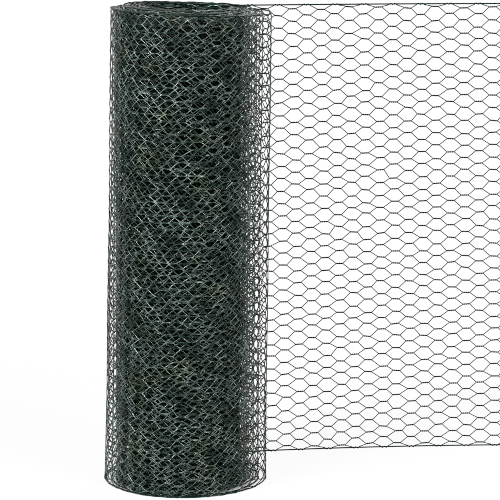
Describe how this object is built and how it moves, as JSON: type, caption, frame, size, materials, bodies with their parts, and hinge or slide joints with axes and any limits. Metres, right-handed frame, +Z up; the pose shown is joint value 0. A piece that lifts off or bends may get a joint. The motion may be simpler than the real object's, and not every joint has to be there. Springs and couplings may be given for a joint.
{
  "type": "roll of hexagonal wire netting",
  "caption": "Upright roll of green PVC-coated hexagonal wire netting, wound round an open bore, with its free end unrolled as a flat open mesh beside it.",
  "frame": {"origin": "on the axis of the bore, at the lower end of the roll, which stands on the floor", "axes": "+Z up the roll along its axis, +X along the unrolled end, away from the roll, +Y towards the back of the roll, where the unrolled end leaves it"},
  "size_m": [0.4554, 0.2144, 0.5],
  "materials": {
    "green_coated_wire": "galvanised steel wire in a satin dark green PVC coat"
  },
  "bodies": {
    "root": {"wound_roll": "green_coated_wire", "unrolled_end_1": "green_coated_wire", "unrolled_end_2": "green_coated_wire", "unrolled_end_3": "green_coated_wire", "unrolled_end_4": "green_coated_wire", "unrolled_end_5": "green_coated_wire", "unrolled_end_6": "green_coated_wire"}
  },
  "joints": []
}
